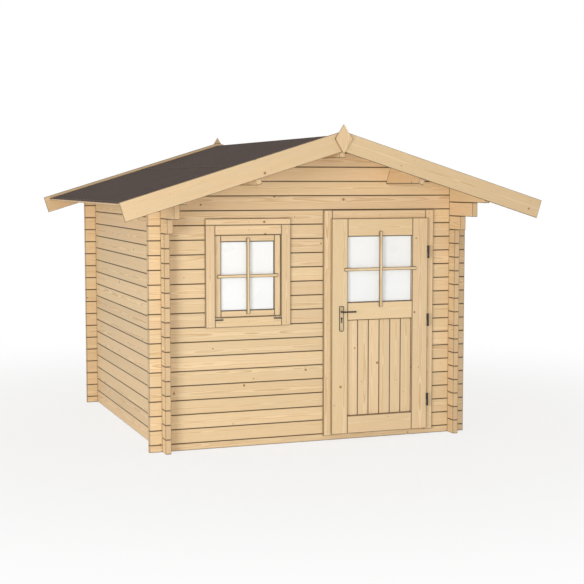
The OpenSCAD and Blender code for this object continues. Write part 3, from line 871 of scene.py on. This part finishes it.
def felt_rows(s0, s1):
    """Steps down a slope, with one on the ridge where the felt folds over it."""
    if s0 >= 0:
        return steps(s0, s1, FELT_CELL)
    return steps(s0, 0.0, FELT_CELL) + steps(0.0, s1, FELT_CELL)[1:]


def held(value):
    """A value held between 0 and 1."""
    return min(1.0, max(0.0, value))


def felt_course(bm, slope, s0, s1, y0, y1, lift_from):
    """One roll of felt, lifted by its own thickness past lift_from, where it laps the roll below."""
    def height(s, y):
        ripple = noise.noise(Vector((s * FELT_RIPPLES, y * FELT_RIPPLES, slope.down.x))) * FELT_RIPPLE_T
        rise = held((s - lift_from) / (FELT_LAP / 2) + 0.5)
        fold = held(-s / FELT_CELL)
        return ripple + FELT_T * (rise + 2 * fold)
    rows = felt_rows(s0, s1)
    columns = steps(y0, y1, FELT_CELL)
    top = [[roof_place(slope, s, y, height(s, y) - FELT_T) for y in columns] for s in rows]
    bottom = [[roof_place(slope, s, y, height(s, y) - 2 * FELT_T) for y in columns] for s in rows]
    add_sheet(bm, top, bottom)


def lay_felt(node, fold):
    """The rolls of one roof side, the top one folded over the ridge if asked."""
    slope = slope_of(node)
    low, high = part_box(node)
    lower_from = slope.length - ROLL_W
    top_from = -RIDGE_FOLD if fold else 0.0
    bm = bmesh.new()
    felt_course(bm, slope, lower_from, slope.length, low[Y], high[Y], math.inf)
    felt_course(bm, slope, top_from, lap_edge(slope), low[Y], high[Y], lower_from)
    shade_round(add_piece(node + "_rolls", bm, FELT, body_of(node), "roofing_felt", [node]))


# Window and door

def bar_cross(name, pane_node, face_y, lap_x, lap_z, body):
    """One upright bar and two cross bars over a pane, on the face at face_y."""
    low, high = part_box(pane_node)
    mid_x, mid_z = (low[X] + high[X]) / 2, (low[Z] + high[Z]) / 2
    half = BAR_W / 2
    bm = bmesh.new()
    add_block(bm, (mid_x - half, face_y - UPRIGHT_BAR_T, low[Z] - lap_z),
              (mid_x + half, face_y, high[Z] + lap_z))
    for x0, x1 in ((low[X] - lap_x, mid_x - half), (mid_x + half, high[X] + lap_x)):
        add_block(bm, (x0, face_y - CROSS_BAR_T, mid_z - half), (x1, face_y, mid_z + half))
    soften(bm, BAR_ROUND, BAR_ROUND_STEPS)
    add_grain(bm, name)
    add_piece(name, bm, BAR_WOOD, body, "door_wood")


def glaze(name, pane_node, back_y, body):
    """Rubber round the front of a pane and wooden beads behind it, up to back_y."""
    low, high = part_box(pane_node)
    gasket = bmesh.new()
    add_rim(gasket, low, high, GASKET_W, low[Y] - GASKET_T, low[Y])
    soften(gasket, GASKET_ROUND)
    add_piece(name + "_gasket", gasket, RUBBER, body, "roofing_felt")
    beads = bmesh.new()
    add_rim(beads, low, high, BEAD_W, high[Y], back_y)
    soften(beads, BEAD_ROUND)
    add_grain(beads, name + "_beads")
    add_piece(name + "_beads", beads, DOOR_WOOD, body, "door_wood")


def dress_openings():
    """Bars, gaskets and beads of the window and the door, and their panes."""
    sash_low, sash_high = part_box("window_sash")
    leaf_low, leaf_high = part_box("door_stiles")
    bar_cross("window_bars", "window_pane", sash_low[Y], WINDOW_BAR_LAP, WINDOW_BAR_LAP, "house")
    bar_cross("door_bars", "door_pane", leaf_low[Y], DOOR_BAR_LAP_X, DOOR_BAR_LAP_Z, "door")
    glaze("window_glazing", "window_pane", sash_high[Y] - BEAD_SETBACK, "house")
    glaze("door_glazing", "door_pane", leaf_high[Y] - BEAD_SETBACK, "door")
    for node in ("window_pane", "door_pane"):
        materials = frame["nodes"][node].data.materials
        materials.clear()
        materials.append(PANE)


# Fittings

def dress_metal(node, material, slot, rounding):
    """A metal node's own solids with softened edges."""
    bm = welded(node)
    soften(bm, rounding)
    shade_round(add_piece(node + "_metal", bm, material, body_of(node), slot, [node]))


def add_screw(bm, place, outward, radius):
    """A round screw head with a socket."""
    head = [(height * radius, ring * radius) for height, ring in SCREW_HEAD]
    add_turned(bm, head, place, outward, SCREW_SIDES)


def add_nail(bm, place, outward, radius):
    """A low round nail head."""
    head = [(height * radius, ring * radius) for height, ring in NAIL_HEAD]
    add_turned(bm, head, place, outward, NAIL_SIDES)


def make_levers():
    """Turned levers on both sides of the door, on one spindle."""
    low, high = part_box("door_lever")
    plate_low, plate_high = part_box("door_handle_plates")
    hub_x, hub_z = low[X] + (high[Z] - low[Z]) / 2, (low[Z] + high[Z]) / 2
    length = high[X] - hub_x
    spindle_len = high[Y] - low[Y] - 2 * BALL_R
    bm = bmesh.new()
    add_turned(bm, [(0, SPINDLE_R), (spindle_len, SPINDLE_R)], (hub_x, low[Y] + BALL_R, hub_z), BACK)
    for outward, plate_y, end_y in ((FRONT, plate_low[Y], low[Y]), (BACK, plate_high[Y], high[Y])):
        reach = abs(end_y - plate_y) - BALL_R
        neck = [*NECK_FOOT, (reach - NECK_WAIST, NECK_WAIST_R), *ball_end(reach, NECK_BALL_FROM)]
        add_turned(bm, neck, (hub_x, plate_y, hub_z), outward, LEVER_SIDES)
        grip_end = ball_end(length - BALL_R, GRIP_BALL_FROM)
        grip = [*GRIP_ROOT, (length - GRIP_WAIST, GRIP_WAIST_R), *grip_end]
        add_turned(bm, grip, (hub_x, plate_y + outward.y * reach, hub_z), RIGHT, LEVER_SIDES)
    shade_round(add_piece("door_lever_set", bm, BLACK_METAL, "lever", "black_metal", ["door_lever"]))


def face_outline(low, high):
    """A plate's face of X and Z, with tight corners at its head and wide ones at its foot."""
    head, foot = FACE_HEAD_R, FACE_FOOT_R
    return (arc((high[X] - head, high[Z] - head), head, 0, 90)
            + arc((low[X] + head, high[Z] - head), head, 90, 180)
            + arc((low[X] + foot, low[Z] + foot), foot, 180, 270)
            + arc((high[X] - foot, low[Z] + foot), foot, 270, 360))


def plate_faces():
    """The outer face of each handle plate: its low and high corner, outward direction and Y."""
    bm = welded("door_handle_plates")
    for verts in islands(bm):
        low = Vector([min(v.co[k] for v in verts) for k in range(3)])
        high = Vector([max(v.co[k] for v in verts) for k in range(3)])
        outward = FRONT if low[Y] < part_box("door_stiles")[0][Y] else BACK
        yield low, high, outward, (low if outward is FRONT else high)[Y]
    bm.free()


def add_lock(bm, centre, y, outward):
    """A lock cylinder with its round plug on top, slotted for the key."""
    foot = (centre[0], centre[1] - LOCK_FOOT)
    head = arc(centre, LOCK_R, -LOCK_NECK, 180 + LOCK_NECK, LOCK_STEPS)
    plug_y = y + outward.y * LOCK_PROUD
    add_prism(bm, head + arc(foot, LOCK_FOOT_R, 180, 360, HALF_ROUND_STEPS), *sorted((y, plug_y)))
    edge = math.degrees(math.asin(KEYWAY_W / 2 / PLUG_R))
    for side in (0, 180):
        half = arc(centre, PLUG_R, side - 90 + edge, side + 90 - edge, HALF_ROUND_STEPS)
        add_prism(bm, half, *sorted((plug_y, plug_y + outward.y * PLUG_PROUD)))


def make_plates():
    """Handle plates: a dark rimmed base, a satin face on it, a lock and two screws."""
    dress_metal("door_handle_plates", BLACK_METAL, "black_metal", PLATE_ROUND)
    faces = bmesh.new()
    locks = bmesh.new()
    screws = bmesh.new()
    inset = Vector((PLATE_RIM, 0, PLATE_RIM))
    for low, high, outward, y in plate_faces():
        face_y = y + outward.y * FACE_T
        mid_x = (low[X] + high[X]) / 2
        add_prism(faces, face_outline(low + inset, high - inset), *sorted((y, face_y)))
        add_lock(locks, (mid_x, high[Z] - LOCK_BELOW_TOP), face_y, outward)
        for z in (low[Z] + PLATE_SCREW_IN, high[Z] - PLATE_SCREW_IN):
            add_screw(screws, (mid_x, face_y, z), outward, PLATE_SCREW_R)
    soften(faces, FACE_ROUND)
    add_piece("door_handle_faces", faces, PLATE_METAL, "door", "plate_metal")
    add_piece("door_locks", locks, BLACK_METAL, "door", "black_metal")
    shade_round(add_piece("door_handle_screws", screws, BLACK_METAL, "door", "black_metal"))


def make_window_hinges():
    """A pale flap with two screws and a dark rod along its foot, for each window hinge."""
    low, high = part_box("window_hinges")
    rod_r = (high[Y] - low[Y]) / 2
    chamfer = ROD_CHAMFER * rod_r
    rod = [(0, rod_r - chamfer), (chamfer, rod_r), (FLAP_LEN - chamfer, rod_r), (FLAP_LEN, rod_r - chamfer)]
    face_y = high[Y] - FLAP_T
    foot_z = low[Z] + rod_r
    flaps = bmesh.new()
    rods = bmesh.new()
    screws = bmesh.new()
    for x0 in (low[X], high[X] - FLAP_LEN):
        add_block(flaps, (x0, face_y, foot_z), (x0 + FLAP_LEN, high[Y], high[Z]))
        add_turned(rods, rod, (x0, low[Y] + rod_r, foot_z), RIGHT)
        for share in FLAP_SCREW_SHARES:
            place = (x0 + share * FLAP_LEN, face_y, high[Z] - FLAP_SCREW_DROP)
            add_screw(screws, place, FRONT, FLAP_SCREW_R)
    soften(flaps, FLAP_ROUND)
    add_piece("window_hinge_flaps", flaps, ZINC, "house", "plate_metal")
    shade_round(add_piece("window_hinge_rods", rods, BLACK_METAL, "house", "black_metal", ["window_hinges"]))
    shade_round(add_piece("window_hinge_screws", screws, BLACK_METAL, "house", "black_metal"))


def screw_places(node, outward, rows, spacing, inset):
    """Places along each board of a node, on its face that looks outward."""
    bm = welded(node)
    bm.normal_update()
    for verts in islands(bm):
        along, across, _ = board_axes(verts)
        spans = [[v.co.dot(axis) for v in verts] for axis in (along, across, outward)]
        middle = (min(spans[1]) + max(spans[1])) / 2
        half = (max(spans[1]) - min(spans[1])) / 2
        for s in steps(min(spans[0]) + inset, max(spans[0]) - inset, spacing):
            for row in rows:
                yield along * s + across * (middle + row * half) + outward * max(spans[2])
    bm.free()


def screw_boards():
    """Screws in the casings and barge boards."""
    for node, outward, rows, spacing, inset in SCREWED:
        bm = bmesh.new()
        for place in screw_places(node, outward, rows, spacing, inset):
            add_screw(bm, place, outward, SCREW_R)
        shade_round(add_piece(node + "_screws", bm, ZINC, body_of(node), "plate_metal"))


def nail_felt():
    """Nails along the eaves, in the lower roll, and along the lap, in the top roll."""
    for node in FELT_NODES:
        slope = slope_of(node)
        low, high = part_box(node)
        bm = bmesh.new()
        for edge, rise in ((slope.length, -FELT_T), (lap_edge(slope), 0.0)):
            for y in steps(low[Y] + NAIL_IN, high[Y] - NAIL_IN, NAIL_SPACING):
                add_nail(bm, roof_place(slope, edge - NAIL_IN, y, rise), slope.normal, NAIL_R)
        shade_round(add_piece(node + "_nails", bm, ZINC, body_of(node), "plate_metal"))


def dress_fittings():
    """Hinges, handle plates, levers and fasteners."""
    dress_metal("door_hinge_pins", BLACK_METAL, "black_metal", HINGE_ROUND)
    dress_metal("door_hinge_knuckles", BLACK_METAL, "black_metal", HINGE_ROUND)
    make_plates()
    make_levers()
    make_window_hinges()
    screw_boards()
    nail_felt()


# Stage

WHITE = (1, 1, 1, 1)

# A floor that is all white from FLOOR_FAR on, and by the share FLOOR_WHITE within FLOOR_NEAR
FLOOR_R = 60.0
FLOOR_SIDES = 96
FLOOR_COLOUR = (0.9, 0.9, 0.9, 1)
FLOOR_ROUGHNESS = 0.9
FLOOR_NEAR = 2.4
FLOOR_FAR = 6.5
FLOOR_WHITE = 0.75
WORLD_LIGHT = 0.61

# Soft square lamps: name, place and power
LAMPS = (
    ("key", (-8.6, -8.4, 1.5), 590),
    ("fill", (-1.5, -11.0, 0.9), 230),
    ("rear", (5.5, 10.5, 1.5), 330),
)
LAMP_SIZE = 4.0
LAMP_TARGET = Vector((0, 0, 1.2))


def shown_rays(tree):
    """1 for the rays by which the background is seen, in glass and metal too."""
    path = add_node(tree, "LightPath").outputs
    seen = maths(tree, "MAXIMUM", path["Is Camera Ray"], path["Is Glossy Ray"])
    return maths(tree, "MAXIMUM", seen, path["Is Transmission Ray"])


def floor_material():
    """Pale, with the shadow kept near the house, and shown white further out."""
    material, tree, shader = new_material("floor")
    shader.inputs["Base Color"].default_value = FLOOR_COLOUR
    shader.inputs["Roughness"].default_value = FLOOR_ROUGHNESS
    shader.inputs["Specular IOR Level"].default_value = 0.0
    white = add_node(tree, "Emission", {"Color": WHITE, "Strength": 1.0})
    away = length_of(tree, object_place(tree))
    whiter = ramp(tree, away, (FLOOR_NEAR, FLOOR_FAR), (FLOOR_WHITE, 1.0))
    share = maths(tree, "MULTIPLY", whiter, shown_rays(tree))
    blended = add_node(tree, "MixShader", {0: share, 1: shader.outputs["BSDF"], 2: white.outputs["Emission"]})
    tree.links.new(blended.outputs["Shader"], tree.nodes["Material Output"].inputs["Surface"])
    return material


def make_floor():
    """A round floor under the house."""
    bm = bmesh.new()
    bmesh.ops.create_circle(bm, cap_ends=True, radius=FLOOR_R, segments=FLOOR_SIDES)
    mesh = bpy.data.meshes.new("floor")
    bm.to_mesh(mesh)
    bm.free()
    mesh.materials.append(floor_material())
    floor = bpy.data.objects.new("floor", mesh)
    bpy.context.scene.collection.objects.link(floor)


def make_world():
    """White where it is seen, and an even light elsewhere."""
    world = bpy.data.worlds.new("studio")
    world.use_nodes = True
    bpy.context.scene.world = world
    tree = world.node_tree
    light = add_node(tree, "Background", {"Color": WHITE, "Strength": WORLD_LIGHT})
    white = add_node(tree, "Background", {"Color": WHITE, "Strength": 1.0})
    both = add_node(tree, "MixShader", {0: shown_rays(tree), 1: light.outputs[0], 2: white.outputs[0]})
    tree.links.new(both.outputs["Shader"], tree.nodes["World Output"].inputs["Surface"])


def add_lamp(name, place, power):
    """A soft square lamp that faces the house."""
    data = bpy.data.lights.new(name, "AREA")
    data.size = LAMP_SIZE
    data.energy = power
    lamp = bpy.data.objects.new(name, data)
    lamp.location = place
    lamp.visible_camera = False
    lamp.rotation_euler = (LAMP_TARGET - Vector(place)).to_track_quat("-Z", "Y").to_euler()
    bpy.context.scene.collection.objects.link(lamp)


def add_camera():
    """The camera at the photograph's place."""
    data = bpy.data.cameras.new("camera")
    data.sensor_width = CAMERA_SENSOR
    data.lens = CAMERA_LENS
    data.clip_end = CAMERA_SEES_TO
    camera = bpy.data.objects.new("camera", data)
    camera.location = CAMERA_PLACE
    camera.rotation_euler = (math.radians(90 - CAMERA_PITCH), 0, math.radians(-CAMERA_YAW))
    bpy.context.scene.collection.objects.link(camera)
    bpy.context.scene.camera = camera


def make_stage():
    """Floor, light, camera and colour settings."""
    make_floor()
    make_world()
    for name, place, power in LAMPS:
        add_lamp(name, place, power)
    add_camera()
    bpy.context.scene.view_settings.view_transform = "Standard"


dress_timber()
lay_felt("left_felt", fold=True)
lay_felt("right_felt", fold=False)
dress_openings()
dress_fittings()
make_stage()
